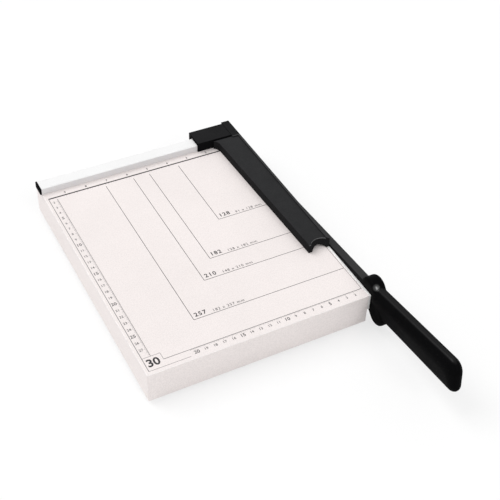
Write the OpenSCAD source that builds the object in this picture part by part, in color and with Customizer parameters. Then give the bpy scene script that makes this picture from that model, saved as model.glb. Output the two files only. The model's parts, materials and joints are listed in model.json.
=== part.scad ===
// Guillotine paper trimmer: a folded steel table with a fixed bed knife, a knife arm
// that swings on a bolt at the rear, and a hinged finger guard along the cut.
// Working datum: X = 0 is the cut plane, Y = 0 is the squaring face of the fence and
// Z = 0 is the desk. place() moves that datum to the middle of the underside.

/* [Table] */
// Width of the table from its left edge to the cut plane
table_w = 250; // [180:1:400]
// Length of the table from the fence face to its front edge
table_l = 302; // [240:1:450]
// Height of the folded sides
table_h = 37; // [34:1:60]
// How far the table runs on behind the fence face
table_back = 22; // [21:1:40]
// Thickness of the folded sheet
sheet_t = 1.2; // [0.8:0.1:2]
// Outer radius of the front right corner
corner_r = 2.5; // [1.5:0.5:12]
// Width of the lips folded in under the sides
lip_w = 16; // [15:0.5:30]

/* [Feet] */
// Diameter of each rubber foot
foot_d = 13; // [9:0.5:13]
// Height of each rubber foot
foot_h = 4; // [3:0.5:8]
// Distance of each foot from the front or rear edge
foot_inset = 25; // [16:1:60]

/* [Bed knife] */
// Thickness of the bed knife
knife_t = 2.5; // [2:0.5:5]
// Height of the bed knife
knife_h = 20; // [19:0.5:26]
// Gap between the bed knife's rear end and the fence face
knife_back = 2; // [0.5:0.5:6]
// Distance of the outer knife screws from the knife's ends
knife_margin = 18; // [12:1:30]

/* [Fence] */
// Height of the fence above the table
fence_h = 8; // [5:0.5:9]
// Depth of the fence from front to rear
fence_d = 16.5; // [12:0.5:18]
// Width of the foot flange turned in under the fence
flange_w = 9; // [7:0.5:10]
// Thickness of the fence's end cap
cap_t = 2; // [1:0.5:4]
// Length of the cap's plug inside the fence
plug_l = 8; // [4:1:20]

/* [Guard block] */
// Width of the block over the fence's right end
block_w = 44.5; // [42:0.5:70]
// Height of the block above the table
block_h = 12; // [11.5:0.5:20]
// How far the block's front face stands in front of the fence face
block_lap = 2; // [1.5:0.5:2.5]
// How far the block stands out behind the table
block_over = 2; // [0.5:0.5:3]
// Wall of the moulded block
block_wall = 2.5; // [1.5:0.1:2.8]
// Length of the fence's end inside the block
fence_in_block = 7; // [3:0.5:8]

/* [Finger guard] */
// Width of the guard at its rear end
guard_w = 30.5; // [24:0.5:45]
// Width of the guard at its front end
guard_tip_w = 25.5; // [24:0.5:40]
// Height of the guard's top face above the table
guard_h = 11; // [9:0.5:16]
// Height of the rim along the guard's right edge above its top face
rim_h = 1; // [0.5:0.1:3]
// Width of the rim
rim_w = 3; // [1.5:0.5:6]
// Wall of the moulded guard
guard_wall = 2.2; // [1.5:0.1:3]
// Distance of the guard's front end from the table's front edge
guard_short = 84; // [40:1:120]
// Distance of the guard's broad part from the fence face
guard_start = 4; // [4:0.5:12]
// Radius of the flare at the guard's rear left corner
flare_r = 10; // [9:0.5:14]
// Length of the flare along the guard
flare_l = 8.5; // [4:0.5:8.5]
// Width of the guard's rear arm beside the block
guard_arm_w = 10.1; // [6:0.1:14]
// Set-back of the guard's front face between foot and crown
guard_rake = 3; // [1:0.5:6]
// Width of the arch in the guard's front face
arch_w = 17.5; // [10:0.5:21]
// Distance of the arch's middle from the guard's right side
arch_in = 12; // [11:0.5:14]
// Height of the arch in the guard's front face
arch_h = 3.5; // [2:0.1:6]
// Radius of the hollow in the guard's front face, seen from above
scoop_r = 13.5; // [12.5:0.5:40]
// Diameter of the guard's hinge pin
pin_d = 4; // [3:0.5:5]
// Distance of the guard's hinge pin behind the fence face
pin_back = 18; // [15:0.5:18]

/* [Arm] */
// Distance of the pivot bolt behind the fence face
pivot_back = 12; // [11:0.5:12]
// Depth of the pivot bolt below the table
pivot_drop = 18; // [16:0.5:20]
// Diameter of the pivot bolt
bolt_d = 8; // [6:0.5:9]
// Height of the pivot bolt's head
head_h = 3.5; // [3:0.5:6]
// Outer diameter of the bush in the arm's eye
bush_d = 12; // [11:0.5:14]
// Diameter of the arm's eye
eye_d = 20; // [19:0.5:22]
// Width of the arm bar
arm_w = 9.2; // [7:0.1:10]
// Height of the arm bar
arm_h = 14.2; // [13:0.1:17]
// Height of the bar's upper edge above the pivot's axis
bar_over = 5.4; // [4:0.1:7]
// Height of the closed arm's front end above the table
arm_rise = 6.7; // [4:0.1:12]
// Distance of the bar's end from the table's front edge
bar_short = 14; // [10:0.5:20]
// Height of the tang inside the grip
tang_h = 8; // [6:0.5:10]
// Length of the tang inside the grip
tang_l = 128; // [115:1:130]

/* [Blade] */
// Thickness of the blade
blade_t = 2.3; // [1.5:0.1:3]
// Distance of the blade's upper edge below the bar's upper edge
blade_seat = 7.2; // [5:0.1:7.5]
// Depth of the blade's rear end below its upper edge
blade_heel = 4.2; // [4:0.1:6]
// Depth of the blade's front end below its upper edge
blade_toe = 9.7; // [9:0.1:11]
// Height of the ground bevel
bevel_h = 2; // [1:0.1:3]

/* [Grip] */
// Thickness of the grip
grip_t = 15; // [14:0.5:20]
// Height of the grip behind the finger stop
grip_h = 29; // [28:0.5:36]
// Height of the grip at its end
grip_end_h = 34; // [30:0.5:40]
// Diameter of the upper round at the grip's end
end_high_d = 26; // [20:0.5:28]
// Diameter of the lower round at the grip's end
end_low_d = 16; // [15:0.5:26]
// How far the lower round stands in front of the upper one
end_skew = 6.5; // [0:0.5:8]
// Length of the grip from the bar's end
grip_l = 155.5; // [150:0.5:180]
// Diameter of the finger stop's upper knob
knob_d = 29; // [24:0.5:32]
// Diameter of the finger stop's lower lobe
lobe_d = 25; // [18:0.5:30]

/* [Stop] */
// Distance of the stop stud from the table's front edge
stop_short = 40; // [34:1:60]
// Diameter of the rubber buffer
buffer_d = 12; // [12:0.5:13]
// Diameter of the stop stud
stud_d = 4; // [3:0.5:4]

/* [Fits] */
// Gap between the blade's face and the bed knife
blade_gap = 0.2; // [0.1:0.05:0.5]
// Radial clearance of a turning pin
running_fit = 0.05; // [0.02:0.01:0.1]
// Clearance around fixed pieces
fit = 0.1; // [0.05:0.01:0.2]
// Gap under or beside a piece that moves
free_gap = 0.3; // [0.2:0.05:0.6]

/* [Hidden] */
$fn = 64;
eps = 0.5;

// Colours
white_paint = [0.93, 0.92, 0.91];
bright_steel = [0.75, 0.76, 0.78];
zinc = [0.66, 0.67, 0.69];
black_plastic = [0.10, 0.10, 0.11];
black_paint = [0.16, 0.16, 0.17];
black_rubber = [0.07, 0.07, 0.07];
brass_tone = [0.72, 0.58, 0.30];

// Table
top_z = foot_h + table_h;
tray_right = -knife_t;
wall_in = tray_right - sheet_t;
under_z = top_z - sheet_t;
foot_x = (sheet_t + lip_w) / 2;
foot_left_x = -table_w + foot_x;
foot_right_x = tray_right - foot_x;
foot_front_y = -table_l + foot_inset;
foot_rear_y = table_back - foot_inset;
foot_spots = [[foot_left_x, foot_front_y], [foot_right_x, foot_front_y],
    [foot_left_x, foot_rear_y], [foot_right_x, foot_rear_y]];

// Small fasteners: thread radius, head radius and height, nut width and height
m3_r = 1.5;
m3_head_r = 2.8;
m3_head_h = 1.8;
m3_nut_w = 5.5;
m3_nut_h = 2.4;
m4_r = 2;
m4_head_r = 3.8;
m4_head_h = 2.4;
m4_nut_w = 7;
m4_nut_h = 3.2;
slot_w = 0.9;
slot_depth = 0.8;
thread_out = 1.2;

// Feet
head_sink = 0.4;
foot_sink = m3_head_h + head_sink;

// Bed knife
knife_z = top_z - knife_h;
knife_screw_drop = 9;
knife_screw_z = top_z - knife_screw_drop;
knife_first_y = -knife_back - knife_margin;
knife_last_y = -table_l + knife_margin;
knife_screw_count = 4;
knife_pitch = (knife_first_y - knife_last_y) / (knife_screw_count - 1);
knife_screw_ys = [for (i = [0 : knife_screw_count - 1]) knife_first_y - i * knife_pitch];
knife_flush = -0.1;

// Guard block and fence
guard_right = -0.5;
guard_arm_left = guard_right - guard_arm_w;
block_right = guard_arm_left - free_gap;
block_left = block_right - block_w;
boss_r = 4;
boss_y = 9;
pin_boss = 10;
pin_short = 0.5;
boss_gap = 2;
boss_xs = [block_left + fence_in_block + boss_r + boss_gap, block_right - pin_boss - boss_r - boss_gap];
fence_right = block_left + fence_in_block;
fence_screw_margin = 28;
fence_screw_count = 3;
fence_pitch = (table_w + fence_right - 2 * fence_screw_margin) / (fence_screw_count - 1);
fence_screw_xs = [for (i = [0 : fence_screw_count - 1]) -table_w + fence_screw_margin + i * fence_pitch];
fence_screw_y = fence_d - flange_w / 2;

// Finger guard
guard_front_y = -table_l + guard_short;
guard_foot_z = top_z + free_gap;
guard_top_z = top_z + guard_h;
rim_z = guard_top_z + rim_h;
hub_r = (guard_h + rim_h) / 2 - free_gap;
pin_z = guard_foot_z + hub_r;
heel_a = 23;
scoop_sag = scoop_r - sqrt(pow(scoop_r, 2) - pow(arch_w / 2, 2));
guard_end_wall = guard_rake + scoop_sag + guard_wall;

// Pivot stack, from inside the table outwards
pivot_z = top_z - pivot_drop;
bracket_t = 4;
bracket_in = wall_in - bracket_t;
bracket_front = 16;
bracket_low = 14;
bracket_head_r = 2.8;
bracket_flange = 12;
flange_front = 6;
bracket_screw_off = 10;
bracket_screw_y = pivot_back - bracket_screw_off;
bracket_screw_zs = [pivot_z - bracket_screw_off, pivot_z + bracket_screw_off];
spring_t = 1;
spring_cone = 0.5;
spring_count = 2;
spring_out_r = bolt_d;
nut_w = 13 / 8 * bolt_d;
nut_h = bolt_d;
washer_t = 1.5;
washer_r = eye_d / 2 - 1;
blade_proud = 0.2;
arm_left = blade_gap + blade_proud;
arm_right = arm_left + arm_w;
washer_left = arm_right + fit;
head_left = washer_left + washer_t;
nut_right = bracket_in - spring_count * (spring_t + spring_cone);
bolt_out = 2;
bolt_end = nut_right - nut_h - bolt_out;

// Arm, in a frame at the pivot: -Y runs along the bar and Z is across it
eye_r = eye_d / 2;
bar_top = bar_over;
bar_low = bar_top - arm_h;
bar_l = table_l + pivot_back - bar_short;
arm_tilt = asin((arm_rise + pivot_drop - bar_top) / bar_l);
knuckle_l = 22;
heel_l = 14;
blade_start = 18;
blade_left = blade_gap;
blade_right = blade_left + blade_t;
blade_high = bar_top - blade_seat;
blade_heel_z = blade_high - blade_heel;
blade_toe_z = blade_high - blade_toe;
blade_land = 0.3;
edge_slope = atan((blade_toe - blade_heel) / (bar_l - blade_start));
blade_screw_z = (blade_high + bar_low) / 2;
blade_screw_count = 4;
blade_screw_margin = 32;
blade_pitch = (bar_l - 2 * blade_screw_margin) / (blade_screw_count - 1);
blade_screw_ss = [for (i = [0 : blade_screw_count - 1]) blade_screw_margin + i * blade_pitch];
tang_mid = (bar_top + bar_low) / 2;
tang_end = bar_l + tang_l;

// Grip, in the same frame
grip_left = free_gap;
grip_right = grip_left + grip_t;
grip_mid = grip_left + grip_t / 2;
edge_r = 3.5;
knob_ahead = 7.4;
knob_drop = 7.1;
knob_s = bar_l + knob_ahead;
knob_z = bar_top - knob_drop;
lobe_ahead = 24;
lobe_drop = 28.6;
lobe_s = bar_l + lobe_ahead;
lobe_z = bar_top - lobe_drop;
grip_ahead = 24;
grip_drop = 13.5;
grip_s = bar_l + grip_ahead;
grip_z = bar_top - grip_drop;
end_drop = 8.6;
end_mid_z = bar_top - end_drop;
end_low_s = bar_l + grip_l - end_low_d / 2;
end_low_z = end_mid_z - (grip_end_h - end_low_d) / 2;
end_high_s = end_low_s - end_skew;
end_high_z = end_mid_z + (grip_end_h - end_high_d) / 2;
grip_screw_inset = 16;
grip_screw_pitch = 50;
grip_screw_ss = [tang_end - grip_screw_inset - grip_screw_pitch, tang_end - grip_screw_inset];
hole_floor = 1;
grip_screw_sink = 3;

// Stop stud: its buffer lies just under the closed bar
stop_y = -table_l + stop_short;
stop_under = pivot_z + (pivot_back - stop_y) * tan(arm_tilt) + bar_low / cos(arm_tilt);
stop_z = stop_under - (buffer_d / 2 + free_gap) / cos(arm_tilt);
stud_head_h = 1.5;
stud_head_r = stud_d / 2 + 1.5;
buffer_left = blade_right + free_gap;

// Overall box
low_x = -table_w - cap_t;
high_x = max(head_left + head_h, grip_right);
grip_front_y = pivot_back - end_low_s * cos(arm_tilt) + end_low_z * sin(arm_tilt) - end_low_d / 2;
heel_y = pin_back + hub_r * cos(heel_a)
    + (rim_z - pin_z + hub_r * sin(heel_a)) * tan(heel_a);
high_y = max(heel_y, pivot_back + eye_r, table_back);
mid_x = (low_x + high_x) / 2;
mid_y = (grip_front_y + high_y) / 2;

// Placing and shared shapes

module place() {
    translate([-mid_x, -mid_y, 0]) children();
}

module place_arm() {
    place() translate([0, pivot_back, pivot_z]) rotate([-arm_tilt, 0, 0]) children();
}

// A rod along X between two X values
module rod(r, x0, x1, y, z) {
    translate([x0, y, z]) rotate([0, 90, 0]) cylinder(h = x1 - x0, r = r);
}

// An outline in Y and Z drawn out along X
module extrude_x(x0, x1) {
    translate([x0, 0, 0]) rotate([90, 0, 90]) linear_extrude(x1 - x0) children();
}

module drive_slot(r) {
    for (turn = [0, 90])
        rotate(turn) translate([-r, -slot_w / 2, -eps]) cube([2 * r, slot_w, slot_depth + eps]);
}

// Head below Z = 0, thread above it
module pan_screw(r, head_r, head_h, l) {
    difference() {
        union() {
            translate([0, 0, -head_h]) cylinder(h = head_h, r = head_r);
            cylinder(h = l, r = r);
        }
        translate([0, 0, -head_h]) drive_slot(head_r * 0.6);
    }
}

// Flat head face at Z = 0, thread above it
module flat_screw(r, head_r, l) {
    difference() {
        union() {
            cylinder(h = head_r - r, r1 = head_r, r2 = r);
            cylinder(h = l, r = r);
        }
        drive_slot(head_r * 0.6);
    }
}

module flat_screw_hole(r, head_r, l) {
    cylinder(h = head_r - r, r1 = head_r + fit, r2 = r + fit);
    translate([0, 0, -eps]) cylinder(h = eps + 0.01, r = head_r + fit);
    cylinder(h = l, r = r + fit);
}

module hex_nut(w, r, h) {
    difference() {
        cylinder(h = h, r = w / sqrt(3), $fn = 6);
        translate([0, 0, -eps]) cylinder(h = h + 2 * eps, r = r + running_fit);
    }
}

// A round plate with a rounded edge, its axis along X
module pill(r, t, edge) {
    e = min(edge, t / 2 - 0.1);
    rotate([0, 90, 0]) rotate_extrude($fn = 32) intersection() {
        translate([0, -t / 2]) square([r, t]);
        union() {
            translate([0, -t / 2]) square([r - e, t]);
            translate([0, -t / 2 + e]) square([r, t - 2 * e]);
            for (side = [-1, 1])
                translate([r - e, side * (t / 2 - e)]) circle(e, $fn = 24);
        }
    }
}

// Table

// The tray's outline seen from above, set in by a distance
module tray_plan(inset) {
    r = corner_r - inset;
    x0 = -table_w + inset;
    x1 = tray_right - inset;
    y0 = -table_l + inset;
    y1 = table_back - inset;
    difference() {
        translate([x0, y0]) square([x1 - x0, y1 - y0]);
        if (r > 0)
            translate([x1 - r, y0 - eps]) square([r + eps, r + eps]);
    }
    if (r > 0)
        translate([x1 - r, y0 + r]) circle(r);
}

module base_tray() {
    color(white_paint) place() difference() {
        translate([0, 0, foot_h]) linear_extrude(table_h) tray_plan(0);
        translate([0, 0, foot_h + sheet_t]) linear_extrude(table_h - 2 * sheet_t) tray_plan(sheet_t);
        translate([0, 0, foot_h - eps]) linear_extrude(sheet_t + 2 * eps) tray_plan(lip_w);
        for (y = knife_screw_ys)
            rod(m4_r + fit, wall_in - eps, tray_right + eps, y, knife_screw_z);
        for (z = bracket_screw_zs)
            translate([tray_right, bracket_screw_y, z]) rotate([0, -90, 0])
                flat_screw_hole(m4_r, bracket_head_r, sheet_t + eps);
        rod(stud_d / 2 + fit, wall_in - eps, tray_right + eps, stop_y, stop_z);
        rod(bolt_d / 2 + fit, wall_in - eps, tray_right + eps, pivot_back, pivot_z);
        for (x = fence_screw_xs)
            translate([x, fence_screw_y, under_z - eps]) cylinder(h = sheet_t + 2 * eps, r = m3_r + fit);
        for (x = boss_xs)
            translate([x, boss_y, under_z - eps]) cylinder(h = sheet_t + 2 * eps, r = m4_r + fit);
        for (spot = foot_spots)
            translate([spot.x, spot.y, foot_h - eps]) cylinder(h = sheet_t + 2 * eps, r = m3_r + fit);
    }
}

// Feet

module foot(spot) {
    color(black_rubber) place() translate([spot.x, spot.y, 0]) difference() {
        cylinder(h = foot_h, d = foot_d);
        translate([0, 0, -eps]) cylinder(h = foot_sink + eps, r = m3_head_r + fit);
        cylinder(h = foot_h + eps, r = m3_r + fit);
    }
}

module foot_screws() {
    color(zinc) place() for (spot = foot_spots)
        translate([spot.x, spot.y, foot_sink])
            pan_screw(m3_r, m3_head_r, m3_head_h, foot_h - foot_sink + sheet_t + m3_nut_h + thread_out);
}

module foot_nuts() {
    color(zinc) place() for (spot = foot_spots)
        translate([spot.x, spot.y, foot_h + sheet_t]) hex_nut(m3_nut_w, m3_r, m3_nut_h);
}

// Bed knife

module bed_knife() {
    color(bright_steel) place() difference() {
        translate([tray_right, -table_l, knife_z]) cube([knife_t, table_l - knife_back, knife_h]);
        for (y = knife_screw_ys)
            translate([knife_flush, y, knife_screw_z]) rotate([0, -90, 0])
                flat_screw_hole(m4_r, m4_head_r, knife_t + eps);
        rod(stud_d / 2 + fit, tray_right - eps, eps, stop_y, stop_z);
    }
}

module bed_knife_screws() {
    color(zinc) place() for (y = knife_screw_ys)
        translate([knife_flush, y, knife_screw_z]) rotate([0, -90, 0])
            flat_screw(m4_r, m4_head_r, knife_flush - wall_in + m4_nut_h + thread_out);
}

module bed_knife_nuts() {
    color(zinc) place() for (y = knife_screw_ys)
        translate([wall_in, y, knife_screw_z]) rotate([0, -90, 0]) hex_nut(m4_nut_w, m4_r, m4_nut_h);
}

// Fence

module fence() {
    color(white_paint) place() difference() {
        extrude_x(-table_w, fence_right) translate([0, top_z]) difference() {
            square([fence_d, fence_h]);
            translate([sheet_t, sheet_t]) square([fence_d - 2 * sheet_t, fence_h - 2 * sheet_t]);
            translate([sheet_t, -eps]) square([fence_d - sheet_t - flange_w, sheet_t + 2 * eps]);
        }
        for (x = fence_screw_xs)
            translate([x, fence_screw_y, top_z - eps])
                cylinder(h = sheet_t + 2 * eps, r = m3_r + running_fit);
    }
}

module fence_screws() {
    color(zinc) place() for (x = fence_screw_xs)
        translate([x, fence_screw_y, under_z])
            pan_screw(m3_r, m3_head_r, m3_head_h, 2 * sheet_t + thread_out);
}

module fence_end_cap() {
    plug_low = sheet_t + fit;
    plug_w = fence_d - 2 * plug_low;
    plug_h = fence_h - 2 * plug_low;
    color(black_plastic) place() translate([0, 0, top_z]) {
        extrude_x(-table_w - cap_t, -table_w) square([fence_d, fence_h]);
        extrude_x(-table_w - eps, -table_w + plug_l)
            translate([plug_low, plug_low]) square([plug_w, plug_h]);
    }
}

// Guard block

module guard_block() {
    hollow_w = block_w - block_wall - pin_boss;
    block_l = block_lap + table_back + block_over;
    hollow_l = table_back + block_over - block_wall + fit;
    hollow_h = block_h - block_wall;
    color(black_plastic) place() difference() {
        union() {
            difference() {
                translate([block_left, -block_lap, top_z]) cube([block_w, block_l, block_h]);
                translate([block_left + block_wall, -fit, top_z - eps])
                    cube([hollow_w, hollow_l, hollow_h + eps]);
            }
            for (x = boss_xs)
                translate([x, boss_y, top_z]) cylinder(h = hollow_h + eps, r = boss_r);
        }
        translate([block_left - eps, -fit, top_z - eps])
            cube([block_wall + 2 * eps, fence_d + 2 * fit, fence_h + fit + eps]);
        for (x = boss_xs)
            translate([x, boss_y, top_z - eps]) cylinder(h = hollow_h + eps, r = m4_r + running_fit);
        rod(pin_d / 2, block_right - pin_boss, block_right + eps, pin_back, pin_z);
    }
}

module guard_block_screws() {
    color(zinc) place() for (x = boss_xs)
        translate([x, boss_y, under_z])
            pan_screw(m4_r, m4_head_r, m4_head_h, sheet_t + block_h - block_wall - hole_floor);
}

module guard_pin() {
    color(bright_steel) place()
        rod(pin_d / 2, block_right - pin_boss, guard_right - pin_short, pin_back, pin_z);
}

// Finger guard

// The guard's outline seen from above, set in by a wall, with its own front and rear ends
module guard_plan(wall, front_y, rear_y) {
    run = guard_front_y + guard_start;
    left = function (y) guard_right - guard_tip_w
        + (guard_tip_w - guard_w) * (y - guard_front_y) / -run;
    polygon([[guard_right - wall, front_y], [guard_right - wall, rear_y],
        [left(rear_y) + wall, rear_y], [left(front_y) + wall, front_y]]);
}

// The hollow corner that widens the guard towards the block, seen from above
module guard_flare() {
    low_left = [guard_right - guard_w - flare_r, -guard_start - flare_l];
    translate(low_left) difference() {
        square([flare_r + guard_wall, flare_l]);
        circle(flare_r, $fn = 120);
    }
}

// The rear arm's outline seen from the side, with a round hub and a heel that stops the lift
module guard_arm_side() {
    toe = [pin_back + hub_r * cos(heel_a), pin_z - hub_r * sin(heel_a)];
    polygon([[-guard_start - guard_wall, guard_foot_z], [pin_back, guard_foot_z], toe,
        [heel_y, rim_z], [-guard_start - guard_wall, rim_z]]);
    translate([pin_back, pin_z]) circle(hub_r);
}

module finger_guard() {
    body_l = -guard_front_y - guard_start;
    arch_r = (pow(arch_w / 2, 2) + pow(arch_h, 2)) / (2 * arch_h);
    arch_x = guard_right - arch_in;
    scoop_tilt = atan(guard_rake / guard_h);
    color(black_plastic) place() difference() {
        union() {
            translate([0, 0, guard_foot_z]) linear_extrude(guard_h - free_gap) union() {
                guard_plan(0, guard_front_y, -guard_start);
                guard_flare();
            }
            translate([guard_right - rim_w, guard_front_y, guard_top_z - eps])
                cube([rim_w, body_l, rim_h + eps]);
            extrude_x(guard_arm_left, guard_right) guard_arm_side();
        }
        translate([0, 0, guard_foot_z - eps]) linear_extrude(guard_h - guard_wall - free_gap + eps)
            guard_plan(guard_wall, guard_front_y + guard_end_wall, -guard_start - guard_wall);
        translate([arch_x, guard_front_y - eps, guard_foot_z + arch_h - arch_r]) rotate([-90, 0, 0])
            cylinder(h = guard_end_wall + 2 * eps, r = arch_r);
        translate([arch_x, guard_front_y - scoop_r + scoop_sag, guard_foot_z]) rotate([-scoop_tilt, 0, 0])
            translate([0, 0, -guard_h]) cylinder(h = 3 * guard_h, r = scoop_r, $fn = 180);
        rod(pin_d / 2 + running_fit, guard_arm_left - eps, guard_right + eps, pin_back, pin_z);
    }
}

// Pivot

module pivot_bracket() {
    rear_y = table_back - sheet_t - fit;
    color(zinc) place() difference() {
        union() {
            translate([bracket_in, pivot_back - bracket_front, pivot_z - bracket_low])
                cube([bracket_t, rear_y - pivot_back + bracket_front, under_z - pivot_z + bracket_low]);
            translate([bracket_in - bracket_flange, pivot_back - flange_front, under_z - bracket_t])
                cube([bracket_flange + eps, rear_y - pivot_back + flange_front, bracket_t]);
        }
        rod(bolt_d / 2 + fit, bracket_in - eps, wall_in + eps, pivot_back, pivot_z);
        for (z = bracket_screw_zs)
            rod(m4_r + running_fit, bracket_in - eps, wall_in + eps, bracket_screw_y, z);
    }
}

module bracket_screws() {
    color(zinc) place() for (z = bracket_screw_zs)
        translate([tray_right, bracket_screw_y, z]) rotate([0, -90, 0])
            flat_screw(m4_r, bracket_head_r, sheet_t + bracket_t + thread_out);
}

module pivot_bolt() {
    color(zinc) place() {
        rod(bolt_d / 2, bolt_end, head_left + eps, pivot_back, pivot_z);
        translate([head_left, pivot_back, pivot_z]) rotate([0, 90, 0])
            cylinder(h = head_h, r = nut_w / sqrt(3), $fn = 6);
    }
}

module pivot_ring(x0, x1, r, hole_r) {
    difference() {
        rod(r, x0, x1, pivot_back, pivot_z);
        rod(hole_r, x0 - eps, x1 + eps, pivot_back, pivot_z);
    }
}

module pivot_spacer() {
    color(zinc) place() pivot_ring(tray_right, arm_left - fit, washer_r, bolt_d / 2 + fit);
}

module pivot_washer() {
    color(zinc) place() pivot_ring(washer_left, head_left, washer_r, bolt_d / 2 + fit);
}

// Conical springs, stacked wide side to wide side
module disc_springs() {
    hole_r = bolt_d / 2 + fit;
    step = spring_t + spring_cone;
    color(bright_steel) place() for (i = [0 : spring_count - 1])
        translate([bracket_in - i * step, pivot_back, pivot_z]) rotate([0, -90, 0])
            translate([0, 0, i % 2 == 0 ? 0 : step]) mirror([0, 0, i % 2]) rotate_extrude()
                polygon([[hole_r, 0], [spring_out_r, spring_cone],
                    [spring_out_r, spring_cone + spring_t], [hole_r, spring_t]]);
}

module pivot_nut() {
    color(zinc) place() translate([nut_right, pivot_back, pivot_z]) rotate([0, -90, 0])
        hex_nut(nut_w, bolt_d / 2, nut_h);
}

// Stop

module stop_stud() {
    color(zinc) place() {
        rod(stud_d / 2, wall_in - m3_nut_h - thread_out, arm_right + eps, stop_y, stop_z);
        rod(stud_head_r, arm_right, arm_right + stud_head_h, stop_y, stop_z);
    }
}

module stop_buffer() {
    color(black_rubber) place() difference() {
        rod(buffer_d / 2, buffer_left, arm_right, stop_y, stop_z);
        rod(stud_d / 2 + running_fit, buffer_left - eps, arm_right + eps, stop_y, stop_z);
    }
}

module stop_nut() {
    color(zinc) place() translate([wall_in, stop_y, stop_z]) rotate([0, -90, 0])
        hex_nut(m4_nut_w, stud_d / 2, m3_nut_h);
}

// Arm

module bar_side() {
    polygon([[0, eye_r], [-knuckle_l, bar_top], [-bar_l, bar_top], [-bar_l, bar_low],
        [-heel_l, bar_low], [0, -eye_r]]);
    circle(eye_r);
}

module arm_bar() {
    color(black_paint) place_arm() difference() {
        union() {
            extrude_x(arm_left, arm_right) bar_side();
            translate([blade_right, -tang_end, tang_mid - tang_h / 2])
                cube([arm_right - blade_right, tang_l + eps, tang_h]);
        }
        translate([arm_left - eps, -bar_l - eps, bar_low - eps])
            cube([blade_right - arm_left + eps, bar_l + eps - blade_start, blade_high - bar_low + eps]);
        rod(bush_d / 2, arm_left - eps, arm_right + eps, 0, 0);
        for (s = blade_screw_ss)
            rod(m3_r + fit, blade_right - eps, arm_right + eps, -s, blade_screw_z);
        for (s = grip_screw_ss)
            rod(m3_r + running_fit, blade_right + hole_floor, arm_right + eps, -s, tang_mid);
    }
}

module pivot_bush() {
    color(brass_tone) place_arm() difference() {
        rod(bush_d / 2, arm_left, arm_right, 0, 0);
        rod(bolt_d / 2 + running_fit, arm_left - eps, arm_right + eps, 0, 0);
    }
}

module blade() {
    bevel_w = blade_t - blade_land;
    color(bright_steel) place_arm() difference() {
        extrude_x(blade_left, blade_right)
            polygon([[-blade_start, blade_high], [-bar_l, blade_high], [-bar_l, blade_toe_z],
                [-blade_start, blade_heel_z]]);
        translate([blade_left, -blade_start, blade_heel_z]) rotate([edge_slope, 0, 0])
            translate([blade_land, eps, 0]) rotate([90, 0, 0]) linear_extrude(bar_l)
                polygon([[-eps * bevel_w / bevel_h, -eps], [bevel_w + eps, -eps],
                    [bevel_w + eps, bevel_h * (bevel_w + eps) / bevel_w]]);
        for (s = blade_screw_ss)
            rod(m3_r + running_fit, blade_left + blade_land, blade_right + eps, -s, blade_screw_z);
    }
}

module blade_screws() {
    color(zinc) place_arm() for (s = blade_screw_ss)
        translate([arm_right, -s, blade_screw_z]) rotate([0, -90, 0])
            pan_screw(m3_r, m3_head_r, m3_head_h, arm_right - blade_left - blade_land - fit);
}

module grip_body() {
    ball_r = grip_t / 2;
    translate([grip_mid, 0, 0]) {
        hull() {
            for (side = [-1, 1])
                translate([0, -grip_s, grip_z + side * (grip_h / 2 - ball_r)]) sphere(ball_r, $fn = 32);
            translate([0, -end_low_s, end_low_z]) pill(end_low_d / 2, grip_t, ball_r);
            translate([0, -end_high_s, end_high_z]) pill(end_high_d / 2, grip_t, ball_r);
        }
        hull() {
            translate([0, -knob_s, knob_z]) pill(knob_d / 2, grip_t, edge_r);
            translate([0, -lobe_s, lobe_z]) pill(lobe_d / 2, grip_t, edge_r);
        }
    }
}

module handle_grip() {
    bar_room = blade_toe_z - fit;
    color(black_plastic) place_arm() difference() {
        grip_body();
        translate([-eps, -bar_l - fit, bar_room])
            cube([arm_right + fit + eps, knob_d, bar_top - bar_room + fit]);
        translate([blade_right - fit, -tang_end - fit, tang_mid - tang_h / 2 - fit])
            cube([arm_right - blade_right + 2 * fit, tang_l + eps, tang_h + 2 * fit]);
        for (s = grip_screw_ss) {
            rod(m3_r + fit, arm_right - eps, grip_right + eps, -s, tang_mid);
            rod(m3_head_r + fit, grip_right - grip_screw_sink, grip_right + eps, -s, tang_mid);
        }
    }
}

module grip_screws() {
    seat = grip_right - grip_screw_sink;
    color(zinc) place_arm() for (s = grip_screw_ss)
        translate([seat, -s, tang_mid]) rotate([0, -90, 0])
            pan_screw(m3_r, m3_head_r, m3_head_h, seat - blade_right - hole_floor - fit);
}

base_tray();
bed_knife();
bed_knife_screws();
bed_knife_nuts();
fence();
fence_screws();
fence_end_cap();
guard_block();
guard_block_screws();
guard_pin();
pivot_bracket();
bracket_screws();
pivot_bolt();
pivot_spacer();
pivot_washer();
disc_springs();
pivot_nut();
stop_stud();
stop_buffer();
stop_nut();
foot(foot_spots[0]);  // foot_front_left
foot(foot_spots[1]);  // foot_front_right
foot(foot_spots[2]);  // foot_rear_left
foot(foot_spots[3]);  // foot_rear_right
foot_screws();
foot_nuts();
arm_bar();
pivot_bush();
blade();
blade_screws();
handle_grip();
grip_screws();
finger_guard();
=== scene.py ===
# %% [markdown]
# # A guillotine paper trimmer
#
# This lesson dresses a desk-top paper trimmer: a white folded steel table with a ruled top, a
# fence across the rear, a black finger guard along the cut, and a knife arm with a moulded grip.
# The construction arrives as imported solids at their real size, in metres. We never move those
# solids. We read their boxes, build finer pieces in the same places, and give each a finish.

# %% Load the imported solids
import json
from math import pi, radians

import bmesh
import bpy
from mathutils import Matrix, Quaternion, Vector

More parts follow.
